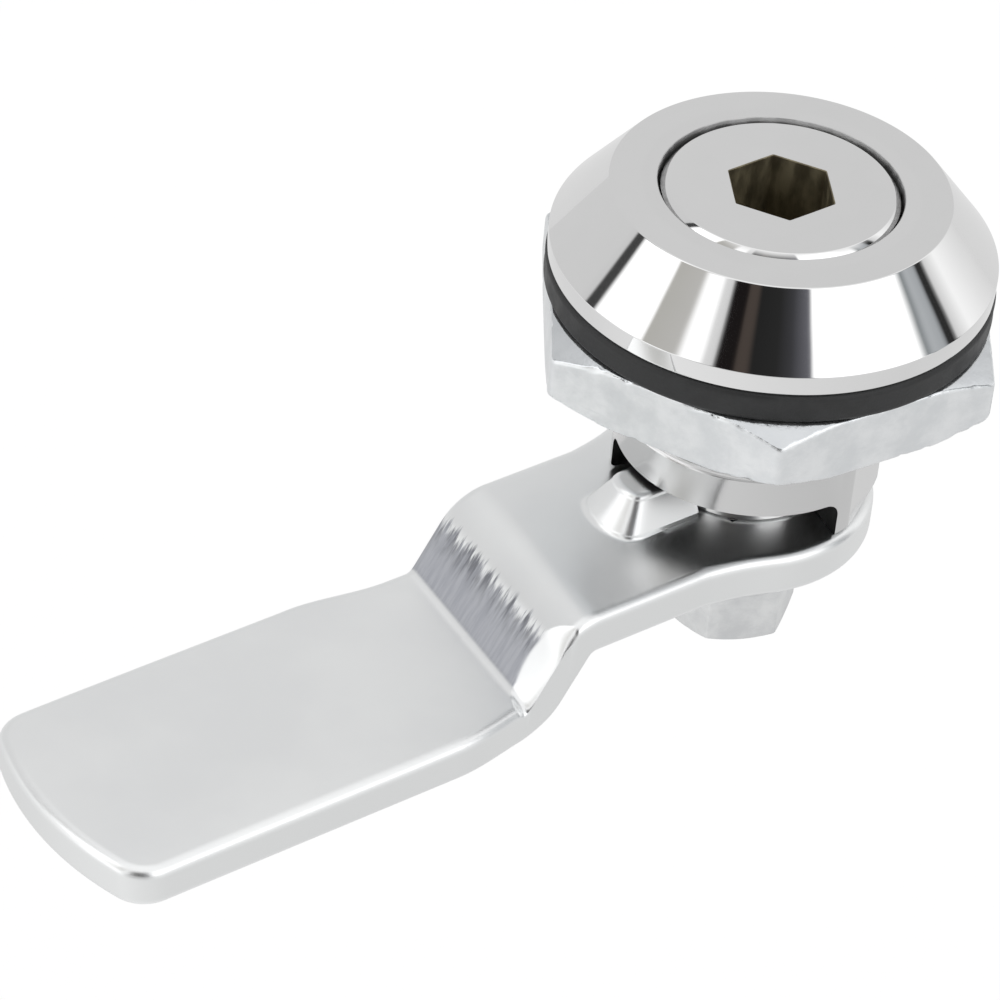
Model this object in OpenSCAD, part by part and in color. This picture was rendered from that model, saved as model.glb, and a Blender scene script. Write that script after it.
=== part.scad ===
/* [Head] */
// Diameter of the head over its rim
head_d = 28; // [25:0.5:34]
// Height of the straight rim at the foot of the head
rim_h = 1.4; // [0.8:0.1:2.5]
// Height of the head above the sealing face
head_h = 5.6; // [4.5:0.1:8]
// Diameter of the flat top of the head
face_d = 21.2; // [18.5:0.1:23]
// Break of the rim's lower edge
rim_break = 0.25; // [0.1:0.05:0.5]

/* [Barrel] */
// Outside diameter of the barrel's thread
thread_d = 18; // [17.5:0.1:19]
// Length of the threaded stretch below the head
thread_len = 10.5; // [9:0.1:12]
// Diameter of the plain end below the thread
pilot_d = 17.2; // [16.6:0.1:17.4]
// Length of the barrel down to its open lower end
barrel_len = 13.4; // [12.5:0.1:16]
// Distance across the two flats that key the barrel to the panel
barrel_flats = 16.2; // [15.5:0.1:16.8]
// Depth of the stop collar that hangs below the barrel's end
collar_h = 2.8; // [2.2:0.1:4]
// Direction of the middle of the stop gap, seen from the key side
gap_turn = 31.7; // [0:0.1:45]
// Break of the barrel's lower edges
barrel_break = 0.3; // [0.1:0.05:0.5]
// Round in the upper corners of the stop gap and along the top of the lug
stop_round = 1.1; // [0.4:0.1:1.5]

/* [Spindle] */
// Diameter of the spindle's disc in the head
disc_d = 14.9; // [13:0.1:16]
// Thickness of the disc
disc_t = 2.6; // [1.8:0.1:3]
// Bevel round the disc's top edge
disc_bevel = 0.4; // [0.2:0.05:0.8]
// Diameter of the shaft
shaft_d = 11; // [10.5:0.1:12]
// Width of the square that drives the cam
square_w = 8; // [7.6:0.1:8.4]
// Width across the flats of the key socket
key_af = 6.1; // [5:0.1:6.5]
// Depth of the key socket
key_depth = 6; // [4.5:0.1:7]
// Turn of the key socket's corners from the cam's arm
key_turn = 0; // [0:0.5:60]

/* [Spindle seal] */
// Thickness of the seal ring's cord
seal_t = 1.5; // [1.2:0.05:1.8]
// Depth of the seal ring's middle below the sealing face
seal_depth = 4; // [3:0.1:5]

/* [Gasket] */
// How far the gasket stands out past the head's rim
gasket_lip = 0.1; // [0:0.05:0.5]
// Thickness of the gasket
gasket_t = 2; // [1:0.1:3]

/* [Nut] */
// How far the nut's flats lie in from the head's rim
nut_inset = 0.3; // [0:0.1:1.5]
// Thickness of the nut
nut_t = 4.2; // [3:0.1:5]
// How far the chamfer reaches down each corner
nut_drop = 0.8; // [0.3:0.05:1.2]
// Break at both mouths of the nut's hole
nut_break = 0.5; // [0.2:0.1:1]
// Turn of the nut's corners from the cam's arm
nut_turn = 55; // [0:0.1:60]

/* [Cam] */
// Thickness of the cam's plate
cam_t = 3; // [2.5:0.1:4]
// Reach from the lock's axis to the tip
cam_reach = 52.4; // [45:0.1:60]
// Width of the flat tip
tip_w = 16.8; // [15.5:0.1:18]
// Width of the neck between the round end and the bend
neck_w = 14.9; // [13:0.1:15.5]
// Radius of the round end
end_r = 9.1; // [8.5:0.1:10]
// Shift of the round end's centre towards the tip
end_shift = 0.8; // [0:0.1:1.5]
// Radius of the shallow arc across the tip
tip_arc = 21; // [15:0.5:40]
// Radius of the tip's two corners
tip_corner = 2.6; // [1:0.1:4]
// How far the tip lies below the round end
crank = 5; // [4:0.1:8]
// Slope of the cranked stretch
crank_angle = 57; // [40:1:65]
// Inner radius of both bends
bend_r = 0.8; // [0.5:0.1:2]
// Distance from the lock's axis to the crease at the foot of the slope
crease_x = 21.8; // [21:0.1:25]
// Skew of the bend lines across the arm
bend_skew = 6; // [0:0.5:8]
// Where the near flank starts to widen towards the tip
near_widen_x = 20.5; // [19:0.5:30]
// Where the far flank starts to widen towards the tip
far_widen_x = 22.5; // [19:0.5:30]
// Length over which each flank widens
widen_len = 7; // [3:0.5:12]

/* [Stop lug] */
// Width of the lug that meets the stop collar
lug_w = 5; // [4:0.1:6]
// Radius of the lug's outer end where it meets the cam
lug_out_r = 11.7; // [11:0.1:13]
// How far the lug's outer end leans in towards its top
lug_lean = 0.9; // [0.5:0.1:2]
// Radius of the lug's round outer end, seen from the key side
lug_nose = 3.2; // [3:0.1:5]

/* [Bolt and washers] */
// Diameter of the bolt's thread
bolt_d = 5; // [4.5:0.1:5.5]
// Length of the bolt below its head
bolt_len = 14; // [12:0.5:16]
// Width across the flats of the bolt's head
bolt_af = 8; // [7:0.5:9]
// Height of the bolt's head
bolt_head_h = 4.3; // [3:0.1:4.5]
// How far the chamfer reaches up each corner of the bolt's head
bolt_drop = 0.6; // [0.2:0.05:0.6]
// Chamfer at the bolt's inner end
bolt_point = 0.7; // [0.3:0.1:1]
// Turn of the bolt's corners from the cam's arm
bolt_turn = 36; // [0:0.1:60]
// Diameter of the flat washer
washer_d = 12; // [11.8:0.1:14]
// Thickness of the flat washer
washer_t = 2; // [1:0.1:2.4]
// Diameter of the spring washer
spring_d = 9.2; // [8.6:0.1:11]
// Thickness of the spring washer
spring_t = 2; // [1.2:0.1:2.4]
// Width of the spring washer's split
spring_split = 1; // [0.6:0.1:1.6]
// Lean of the split from the bolt's axis
split_lean = 20; // [0:1:30]

/* [Clearances] */
// Radial clearance of the spindle's shaft in the barrel
shaft_fit = 0.04; // [0.02:0.01:0.08]
// Radial gap round the disc in the head
disc_gap = 0.2; // [0.1:0.05:0.3]
// Axial play of the turning parts
end_play = 0.1; // [0.05:0.01:0.2]
// Gap on each side of the cam's square hole and round threads
loose_fit = 0.05; // [0.03:0.01:0.1]
// Gap left between the lug and the collar at the end of its turn
stop_gap = 0.08; // [0.05:0.01:0.15]
// Gap between the lug's top and the barrel's end
lug_clear = 0.4; // [0.2:0.05:0.8]
// Radial gap between the washers and the bolt
washer_fit = 0.2; // [0.1:0.05:0.4]
// Room beside the seal ring in its groove
seal_room = 0.2; // [0.1:0.05:0.4]

/* [Hidden] */
$fn = 96;
eps = 0.01;
quarter = 90;
head_r = head_d / 2;
face_r = face_d / 2;
gasket_d = head_d + 2 * gasket_lip;
nut_af = head_d - 2 * nut_inset;
pilot_r = pilot_d / 2;
bore_r = shaft_d / 2 + shaft_fit;
disc_floor = head_h - disc_t;
collar_end = -barrel_len - collar_h;
cam_top = collar_end - end_play;
cam_bottom = cam_top - cam_t;
washer_bottom = cam_bottom - washer_t;
head_seat = washer_bottom - spring_t;
bolt_bottom = head_seat - bolt_head_h;
tip_top = cam_top - crank;
lug_top = -barrel_len - lug_clear;
span = 4 * cam_reach;

// The slope's straight length, from the drop that the two bends leave
bend_outer = bend_r + cam_t;
bend_mid = bend_r + cam_t / 2;
slope_drop = crank - 2 * bend_mid * (1 - cos(crank_angle));
slope_len = slope_drop / sin(crank_angle);
crank_run = 2 * bend_mid * sin(crank_angle) + slope_len * cos(crank_angle);
bend_x = crease_x - crank_run;

// The tip's corner rounds touch both the flank and the arc across the tip
corner_y = tip_w / 2 - tip_corner;
arc_x = cam_reach - tip_arc;
corner_x = arc_x + sqrt(pow(tip_arc - tip_corner, 2) - pow(corner_y, 2));

hex_ratio = 1 / cos(30);
chamfer = 25;

// A hexagonal prism with one corner at the given turn
module hex_prism(af, h, turn) {
    rotate([0, 0, turn])
        cylinder(h = h, d = af * hex_ratio, $fn = 6);
}

// A cone frustum that takes the corners off a prism at its top face
module corner_cone(af, h, drop) {
    corner_r = af * hex_ratio / 2;
    face_cut = drop / tan(chamfer);
    rotate_extrude()
        polygon([[0, -eps], [corner_r + eps, -eps], [corner_r + eps, h - drop],
                 [corner_r - face_cut, h], [0, h]]);
}

// Half of a stop slot seen along its length, with a round in its upper corner
module slot_half(half_w, h, round) {
    square([half_w - round, h]);
    square([half_w, h - round]);
    translate([half_w - round, h - round])
        circle(round);
}

// The space that the lug sweeps between its two stops, cut in the collar
module stop_space() {
    half_w = lug_w / 2 + stop_gap;
    rotate([0, 0, gap_turn]) {
        rotate([0, 0, -quarter / 2])
            cube([head_r, head_r, collar_h + eps]);
        for (side = [0, 1])
            mirror([0, side, 0])
                rotate([quarter, 0, quarter + quarter / 2])
                    linear_extrude(head_r)
                        slot_half(half_w, collar_h + eps, stop_round);
    }
}

module housing() {
    color("gainsboro")
    difference() {
        union() {
            rotate_extrude()
                polygon([[0, 0], [head_r - rim_break, 0], [head_r, rim_break], [head_r, rim_h],
                         [face_r, head_h], [0, head_h]]);
            translate([0, 0, -thread_len])
                cylinder(h = thread_len + eps, d = thread_d);
            rotate_extrude()
                polygon([[0, eps - thread_len], [0, collar_end], [pilot_r - barrel_break, collar_end],
                         [pilot_r, collar_end + barrel_break], [pilot_r, eps - thread_len]]);
        }
        // The disc's seat and the shaft's bore
        translate([0, 0, disc_floor - end_play / 2])
            cylinder(h = head_h, r = disc_d / 2 + disc_gap);
        translate([0, 0, collar_end - eps])
            cylinder(h = head_h - collar_end, r = bore_r);
        // The flats, square to the middle of the stop gap
        for (side = [-1, 1])
            rotate([0, 0, gap_turn])
                translate([-head_r, side * (barrel_flats / 2 + head_r / 2) - head_r / 2, collar_end - eps])
                    cube([head_d, head_r, -collar_end + eps]);
        // The stop gap in the collar
        translate([0, 0, collar_end - eps])
            stop_space();
    }
}

module spindle() {
    tapped_top = head_seat + bolt_len + bolt_d / 2;
    groove_r = shaft_d / 2 - seal_t + loose_fit;
    groove_w = seal_t + 2 * seal_room;
    square_end = cam_bottom + end_play;
    color("silver")
    difference() {
        union() {
            rotate_extrude()
                polygon([[0, disc_floor], [disc_d / 2, disc_floor], [disc_d / 2, head_h - disc_bevel],
                         [disc_d / 2 - disc_bevel, head_h], [0, head_h]]);
            translate([0, 0, cam_top])
                cylinder(h = disc_floor - cam_top + eps, d = shaft_d);
            intersection() {
                translate([-square_w / 2, -square_w / 2, square_end])
                    cube([square_w, square_w, cam_top - square_end + eps]);
                translate([0, 0, square_end])
                    cylinder(h = cam_top - square_end + eps, d = shaft_d);
            }
        }
        translate([0, 0, head_h - key_depth])
            hex_prism(key_af, key_depth + eps, key_turn);
        translate([0, 0, square_end - eps])
            cylinder(h = tapped_top - square_end, d = bolt_d + 2 * loose_fit);
        translate([0, 0, -seal_depth - groove_w / 2])
            difference() {
                cylinder(h = groove_w, d = shaft_d + eps);
                translate([0, 0, -eps])
                    cylinder(h = groove_w + 2 * eps, r = groove_r);
            }
    }
}

module spindle_seal() {
    cord_r = seal_t / 2 - loose_fit / 2;
    color("dimgray")
    translate([0, 0, -seal_depth])
        rotate_extrude()
            translate([shaft_d / 2 - cord_r + shaft_fit / 2, 0])
                circle(cord_r);
}

module gasket() {
    color("darkslategray")
    translate([0, 0, -gasket_t])
        difference() {
            cylinder(h = gasket_t, d = gasket_d);
            translate([0, 0, -eps])
                cylinder(h = gasket_t + 2 * eps, d = thread_d + 2 * loose_fit);
        }
}

module hex_nut() {
    hole_r = thread_d / 2 + loose_fit;
    color("lightsteelblue")
    translate([0, 0, -gasket_t - nut_t])
        difference() {
            intersection() {
                hex_prism(nut_af, nut_t, nut_turn);
                corner_cone(nut_af, nut_t, nut_drop);
                translate([0, 0, nut_t])
                    mirror([0, 0, 1])
                        corner_cone(nut_af, nut_t, nut_drop);
            }
            rotate_extrude()
                polygon([[0, -eps], [hole_r + nut_break + eps, -eps], [hole_r, nut_break],
                         [hole_r, nut_t - nut_break], [hole_r + nut_break + eps, nut_t + eps],
                         [0, nut_t + eps]]);
        }
}

// A ring sector of the plate, drawn from angle a to angle b round a bend's centre
module bend_sector(a, b) {
    intersection() {
        difference() {
            circle(bend_outer);
            circle(bend_r);
        }
        polygon([[0, 0], 2 * bend_outer * [cos(a), sin(a)],
                 2 * bend_outer * [cos((a + b) / 2), sin((a + b) / 2)],
                 2 * bend_outer * [cos(b), sin(b)]]);
    }
}

// The plate's side view: round end, upper bend, slope, lower bend and tip
module cam_side() {
    translate([bend_x, cam_bottom])
        translate([-span, 0])
            square([span, cam_t]);
    translate([bend_x, cam_bottom - bend_r]) {
        bend_sector(90, 90 - crank_angle);
        rotate([0, 0, -crank_angle])
            translate([-eps, bend_r])
                square([slope_len + 2 * eps, cam_t]);
    }
    translate([crease_x, tip_top + bend_r])
        bend_sector(270, 270 - crank_angle);
    translate([crease_x, tip_top - cam_t])
        square([span, cam_t]);
}

// The plate's outline seen from the key side
module cam_plan() {
    translate([end_shift, 0])
        circle(end_r);
    translate([0, -neck_w / 2])
        square([crease_x, neck_w]);
    polygon([[end_shift, neck_w / 2], [near_widen_x, neck_w / 2],
             [near_widen_x + widen_len, tip_w / 2], [corner_x, tip_w / 2],
             [corner_x, -tip_w / 2], [far_widen_x + widen_len, -tip_w / 2],
             [far_widen_x, -neck_w / 2], [end_shift, -neck_w / 2]]);
    for (side = [-1, 1])
        translate([corner_x, side * corner_y])
            circle(tip_corner);
    intersection() {
        translate([arc_x, 0])
            circle(tip_arc, $fn = 192);
        polygon([[arc_x, 0], [arc_x, 0] + 2 * [corner_x - arc_x, corner_y],
                 [arc_x, 0] + 2 * [corner_x - arc_x, -corner_y]]);
    }
}

// The lug that rises from the cam into the stop gap, with round top edges and a round outer end
module stop_lug() {
    lug_in_r = shaft_d / 2 + stop_gap;
    root = cam_top - cam_t / 2;
    lug_rise = lug_top - root;
    nose_x = lug_out_r - lug_nose;
    root_lean = lug_lean * (cam_top - root) / (lug_top - cam_top);
    intersection() {
        for (side = [0, 1])
            mirror([0, side, 0])
                translate([lug_in_r, 0, root])
                    rotate([quarter, 0, quarter])
                        linear_extrude(lug_out_r)
                            slot_half(lug_w / 2, lug_rise, stop_round);
        union() {
            translate([nose_x, 0, 0])
                rotate([0, 0, 2 * quarter])
                    rotate_extrude()
                        polygon([[0, root], [lug_nose + root_lean, root],
                                 [lug_nose - lug_lean, lug_top], [0, lug_top]]);
            translate([0, -lug_w, root])
                cube([nose_x, 2 * lug_w, lug_rise + lug_clear]);
        }
    }
}

module cam() {
    hole_w = square_w + 2 * loose_fit;
    crank_x = (bend_x + crease_x) / 2;
    color("whitesmoke")
    difference() {
        union() {
            intersection() {
                translate([0, 0, -span])
                    linear_extrude(span)
                        cam_plan();
                translate([crank_x, 0, 0])
                    rotate([0, 0, -bend_skew])
                        translate([-crank_x, 0, 0])
                            rotate([90, 0, 0])
                                linear_extrude(2 * cam_reach, center = true)
                                    cam_side();
            }
            stop_lug();
        }
        translate([-hole_w / 2, -hole_w / 2, cam_bottom - eps])
            cube([hole_w, hole_w, lug_top - cam_bottom]);
    }
}

module flat_washer() {
    color("silver")
    translate([0, 0, washer_bottom])
        difference() {
            cylinder(h = washer_t, d = washer_d);
            translate([0, 0, -eps])
                cylinder(h = washer_t + 2 * eps, d = bolt_d + 2 * washer_fit);
        }
}

module spring_washer() {
    color("darkgray")
    translate([0, 0, head_seat])
        difference() {
            cylinder(h = spring_t, d = spring_d);
            translate([0, 0, -eps])
                cylinder(h = spring_t + 2 * eps, d = bolt_d + 2 * washer_fit);
            translate([spring_d / 2, 0, spring_t / 2])
                rotate([split_lean, 0, 0])
                    cube([spring_d, spring_split, 3 * spring_t], center = true);
        }
}

module cam_bolt() {
    color("silver") {
        translate([0, 0, bolt_bottom])
            intersection() {
                hex_prism(bolt_af, bolt_head_h, bolt_turn);
                translate([0, 0, bolt_head_h])
                    mirror([0, 0, 1])
                        corner_cone(bolt_af, bolt_head_h, bolt_drop);
            }
        rotate_extrude()
            polygon([[0, head_seat - eps], [bolt_d / 2, head_seat - eps],
                     [bolt_d / 2, head_seat + bolt_len - bolt_point],
                     [bolt_d / 2 - bolt_point, head_seat + bolt_len], [0, head_seat + bolt_len]]);
    }
}

housing();
spindle();
spindle_seal();
gasket();
hex_nut();
cam();
flat_washer();
spring_washer();
cam_bolt();
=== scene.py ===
import math
import bmesh
import bpy
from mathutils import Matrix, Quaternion, Vector, noise


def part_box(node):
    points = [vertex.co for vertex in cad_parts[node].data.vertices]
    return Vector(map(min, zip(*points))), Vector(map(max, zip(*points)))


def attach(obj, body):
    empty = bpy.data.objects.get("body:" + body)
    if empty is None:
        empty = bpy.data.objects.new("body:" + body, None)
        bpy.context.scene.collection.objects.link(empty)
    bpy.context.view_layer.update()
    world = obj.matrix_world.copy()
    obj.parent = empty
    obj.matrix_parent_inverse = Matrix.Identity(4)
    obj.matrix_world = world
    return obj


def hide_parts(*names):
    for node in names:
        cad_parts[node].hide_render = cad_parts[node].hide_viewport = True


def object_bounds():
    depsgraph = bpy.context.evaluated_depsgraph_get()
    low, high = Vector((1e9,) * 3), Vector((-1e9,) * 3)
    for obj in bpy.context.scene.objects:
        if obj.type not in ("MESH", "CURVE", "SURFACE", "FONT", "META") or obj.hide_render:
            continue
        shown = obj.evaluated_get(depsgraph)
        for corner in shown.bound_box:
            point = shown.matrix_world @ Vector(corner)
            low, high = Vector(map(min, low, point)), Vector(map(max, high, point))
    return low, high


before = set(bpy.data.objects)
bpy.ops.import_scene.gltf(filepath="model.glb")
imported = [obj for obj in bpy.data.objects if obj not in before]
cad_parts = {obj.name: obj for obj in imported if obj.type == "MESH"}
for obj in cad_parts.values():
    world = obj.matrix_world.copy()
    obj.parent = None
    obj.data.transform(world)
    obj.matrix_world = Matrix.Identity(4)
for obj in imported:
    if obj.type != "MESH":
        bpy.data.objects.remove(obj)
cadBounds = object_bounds()
print("frame loaded with", len(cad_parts), "nodes")

mm = 0.001
fullTurn = 2 * math.pi
inDegrees = 180 / math.pi


# lowest and highest corner of a solid, in millimetres
def spanOf(node):
    low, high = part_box(node)
    return low / mm, high / mm


housingLow, housingHigh = spanOf("housing")
spindleLow, spindleHigh = spanOf("spindle")
gasketLow, gasketHigh = spanOf("gasket")
nutLow, nutHigh = spanOf("hex_nut")
camHigh = spanOf("cam")[1]
washerLow, washerHigh = spanOf("flat_washer")
springLow, springHigh = spanOf("spring_washer")
boltLow, boltHigh = spanOf("cam_bolt")


# a value that may be a number or a function of the angle
def valueAt(value, angle):
    return value(angle) if callable(value) else value


# quads between neighbouring loops that have the same count of points
def joinLoops(loops, count, closed=False):
    faces = []
    for loop in range(loops if closed else loops - 1):
        here = loop * count
        there = (loop + 1) % loops * count
        for step in range(count):
            after = (step + 1) % count
            faces.append((here + step, here + after, there + after, there + step))
    return faces


# rings of (radius, height) about the lock's axis, joined by quads
def ringMesh(rings, count, closed):
    points = []
    for radius, height in rings:
        for step in range(count):
            angle = fullTurn * step / count
            reach = valueAt(radius, angle)
            points.append((reach * math.cos(angle), reach * math.sin(angle),
                           valueAt(height, angle)))
    return points, joinLoops(len(rings), count, closed)


# (radius, height, round) points, with each round drawn as an arc
def softProfile(points, arcSteps=5):
    soft = []
    for index, (radius, height, rounding) in enumerate(points):
        here = Vector((radius, height))
        if rounding <= 0:
            soft.append((radius, height))
            continue
        toLast = (Vector(points[index - 1][:2]) - here).normalized()
        toNext = (Vector(points[(index + 1) % len(points)][:2]) - here).normalized()
        halfCorner = toLast.angle(toNext) / 2
        centre = here + (toLast + toNext).normalized() * rounding / math.sin(halfCorner)
        start = here + toLast * rounding / math.tan(halfCorner) - centre
        end = here + toNext * rounding / math.tan(halfCorner) - centre
        for step in range(arcSteps + 1):
            spot = centre + start.lerp(end, step / arcSteps).normalized() * rounding
            soft.append((spot.x, spot.y))
    return soft


# distance from the axis to the side of a polygon with round corners
def polygonRadius(angle, flats, sides, turn, corner):
    half = math.pi / sides
    away = abs((angle - turn + half) % (2 * half) - half)
    centre = (flats / 2 - corner) / math.cos(half)
    edge = math.atan2(corner * math.sin(half), centre + corner * math.cos(half))
    if away < edge:
        return centre * math.cos(away) + math.sqrt(corner ** 2 - (centre * math.sin(away)) ** 2)
    return flats / 2 / math.cos(half - away)


# a mesh object in metres from points in millimetres
def meshObject(name, points, faces):
    mesh = bpy.data.meshes.new(name)
    mesh.from_pydata([Vector(point) * mm for point in points], [], faces)
    work = bmesh.new()
    work.from_mesh(mesh)
    bmesh.ops.remove_doubles(work, verts=work.verts, dist=mm / 2000)
    bmesh.ops.recalc_face_normals(work, faces=work.faces)
    work.to_mesh(mesh)
    work.free()
    made = bpy.data.objects.new(name, mesh)
    bpy.context.scene.collection.objects.link(made)
    return made


# cuts the tool out of the piece, or joins it on, and removes the tool
def carve(piece, tool, operation):
    change = piece.modifiers.new("carve", "BOOLEAN")
    change.operation = operation
    change.solver = "EXACT"
    change.object = tool
    bpy.context.view_layer.objects.active = piece
    bpy.ops.object.modifier_apply(modifier=change.name)
    bpy.data.objects.remove(tool)


# smooth shading with crisp edges, then the body, the finish and the node it stands for
def settle(piece, body, materials, node, crispAngle=35):
    for face in piece.data.polygons:
        face.use_smooth = True
    piece.data.set_sharp_from_angle(angle=math.radians(crispAngle))
    even = piece.modifiers.new("even normals", "WEIGHTED_NORMAL")
    even.keep_sharp = True
    even.weight = 100
    for material in materials:
        piece.data.materials.append(material)
    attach(piece, body)
    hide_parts(node)


# a socket that takes part in Python expressions
class Wire:
    def __init__(self, tree, socket=None):
        self.tree = tree
        self.socket = socket

    def node(self, kind, settings=None, inputs=None, output=0):
        made = self.tree.nodes.new(kind)
        for key, value in (settings or {}).items():
            if key == "stops":
                fillRamp(made.color_ramp, value)
            else:
                setattr(made, key, value)
        for key, value in (inputs or {}).items():
            if isinstance(value, Wire):
                self.tree.links.new(value.socket, made.inputs[key])
            else:
                made.inputs[key].default_value = value
        return Wire(self.tree, made.outputs[output])

    def maths(self, operation, first, second=0.0):
        return self.node("ShaderNodeMath", {"operation": operation}, {0: first, 1: second})

    def __add__(self, other):
        return self.maths("ADD", self, other)

    def __radd__(self, other):
        return self.maths("ADD", other, self)

    def __sub__(self, other):
        return self.maths("SUBTRACT", self, other)

    def __rsub__(self, other):
        return self.maths("SUBTRACT", other, self)

    def __mul__(self, other):
        return self.maths("MULTIPLY", self, other)

    def __rmul__(self, other):
        return self.maths("MULTIPLY", other, self)

    def __truediv__(self, other):
        return self.maths("DIVIDE", self, other)

    # 0 below low, 1 above high, smooth between
    def ease(self, low, high):
        return self.node("ShaderNodeMapRange", {"interpolation_type": "SMOOTHSTEP"},
                         {"Value": self, "From Min": low, "From Max": high})

    # goes from one colour to another as this value goes from 0 to 1
    def tint(self, dark, light):
        return self.node("ShaderNodeMix", {"data_type": "RGBA"},
                         {"Factor": self, 6: dark, 7: light}, output=2)


def fillRamp(ramp, stops):
    while len(ramp.elements) > 1:
        ramp.elements.remove(ramp.elements[-1])
    for index, (place, colour) in enumerate(stops):
        spot = ramp.elements[0] if index == 0 else ramp.elements.new(place)
        spot.position = place
        spot.color = colour


# a colour with its alpha, from one grey level or three channels
def paint(*levels):
    return (levels * 3 if len(levels) == 1 else levels) + (1.0,)


# a new material, its Wire to build with and a call that links the shader's sockets
def startMaterial(name):
    material = bpy.data.materials.new(name)
    material.use_nodes = True
    tree = material.node_tree
    shader = tree.nodes["Principled BSDF"]

    def feed(inputs):
        for key, value in inputs.items():
            if isinstance(value, Wire):
                tree.links.new(value.socket, shader.inputs[key])
            else:
                shader.inputs[key].default_value = value

    return material, Wire(tree), feed


# the place on the object, in millimetres, stretched by a factor along each axis
def placeOn(wire, stretch=(1, 1, 1)):
    spot = wire.node("ShaderNodeTexCoord", output="Object")
    scale = tuple(factor / mm for factor in stretch)
    return wire.node("ShaderNodeVectorMath", {"operation": "MULTIPLY"}, {0: spot, 1: scale})


def noiseOn(wire, place, scale, detail=3.0, roughness=0.5):
    return wire.node("ShaderNodeTexNoise", {},
                     {"Vector": place, "Scale": scale, "Detail": detail, "Roughness": roughness})


# distance in millimetres
def bumpOf(wire, height, strength, distance):
    return wire.node("ShaderNodeBump", {},
                     {"Height": height, "Strength": strength, "Distance": distance * mm})


# one axis of a vector
def axisOf(wire, vector, axis):
    return wire.node("ShaderNodeSeparateXYZ", {}, {0: vector}, output=axis)


# from the low end to the high end as the share goes from 0 to 1
def between(ends, share):
    low, high = ends
    return low + (high - low) * share


chromeLook = {
    "base": 0.83,
    "cloudShade": 0.97,
    "roughness": (0.03, 0.07),
    "cloudScale": 0.35,
    "waveScale": 0.22,
    "waveStrength": 0.05,
    "waveDepth": 0.2,
}
# painted shade: the barrel under the nut gets a darker copy of the chrome, with a rougher finish
shadedBarrelLook = {**chromeLook, "base": 0.68, "roughness": (0.10, 0.20), "cloudScale": 0.50}


# bright plate over a die casting, with the slight waves of the casting
def brightPlate(name, look):
    material, wire, feed = startMaterial(name)
    place = placeOn(wire)
    cloud = noiseOn(wire, place, look["cloudScale"])
    wave = noiseOn(wire, place, look["waveScale"], detail=1.0)
    feed({
        "Base Color": cloud.tint(paint(look["base"] * look["cloudShade"]), paint(look["base"])),
        "Metallic": 1.0,
        "Roughness": between(look["roughness"], cloud),
        "Normal": bumpOf(wire, wave, look["waveStrength"], look["waveDepth"]),
    })
    return material


bareAndShadeLook = {
    "stretch": (1, 1, 0.4),
    "cloudScale": 0.9,
    "cloudEnds": (0.35, 0.65),
    "metallic": 0.7,
    "bumpStrength": 0.15,
    "bumpDepth": 0.1,
}
socketLook = {"dark": (0.16, 0.138, 0.09), "light": (0.32, 0.28, 0.185), "roughness": (0.35, 0.6)}
seatLook = {"dark": (0.42,), "light": (0.60,), "roughness": (0.3, 0.45)}
# painted shade: a nearly black finish for the stop gap and the disc's side, where shade falls
paintedShadeLook = {"dark": (0.008,), "light": (0.035,), "roughness": (0.3, 0.5)}


# bare, oily metal where the plate does not reach: the key socket and the disc's seat; made nearly
# black, the same recipe is painted shade in the stop gap and on the disc's side
def bareMetalAndShade(name, look):
    material, wire, feed = startMaterial(name)
    cloud = noiseOn(wire, placeOn(wire, bareAndShadeLook["stretch"]), bareAndShadeLook["cloudScale"], detail=4.0)
    cloud = cloud.ease(*bareAndShadeLook["cloudEnds"])
    feed({
        "Base Color": cloud.tint(paint(*look["dark"]), paint(*look["light"])),
        "Metallic": bareAndShadeLook["metallic"],
        "Roughness": between(look["roughness"], cloud),
        "Normal": bumpOf(wire, cloud, bareAndShadeLook["bumpStrength"], bareAndShadeLook["bumpDepth"]),
    })
    return material


camLook = {
    "base": (0.93, 0.94, 0.94),
    "shade": (0.895, 0.905, 0.91),
    # painted reflection: the band's dark bluish colours, under its draw streaks and ticks
    "streak": (0.43, 0.44, 0.48),
    "dark": (0.22, 0.225, 0.245),
    # painted shade: the steep flanks are darker than the top
    "flank": (0.89, 0.90, 0.90),
    "roughness": (0.285, 0.32),
    "cloudScale": 0.12,
    "grainScale": 2.2,
    "grainShare": 0.6,
    "bumpStrength": 0.06,
    "bumpDepth": 0.1,
    "skew": math.radians(6),      # of the bend lines across the arm
    "streakFrom": 19.2,
    "streakTo": 21.3,
    "streakStretch": (0.11, 1, 0.11),
    "streakScale": 2.6,
    "streakRoughness": 0.12,
    "tickStretch": (0.2, 1, 0.2),
    "tickScale": 3.4,
    "ragged": 0.55,
}
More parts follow.
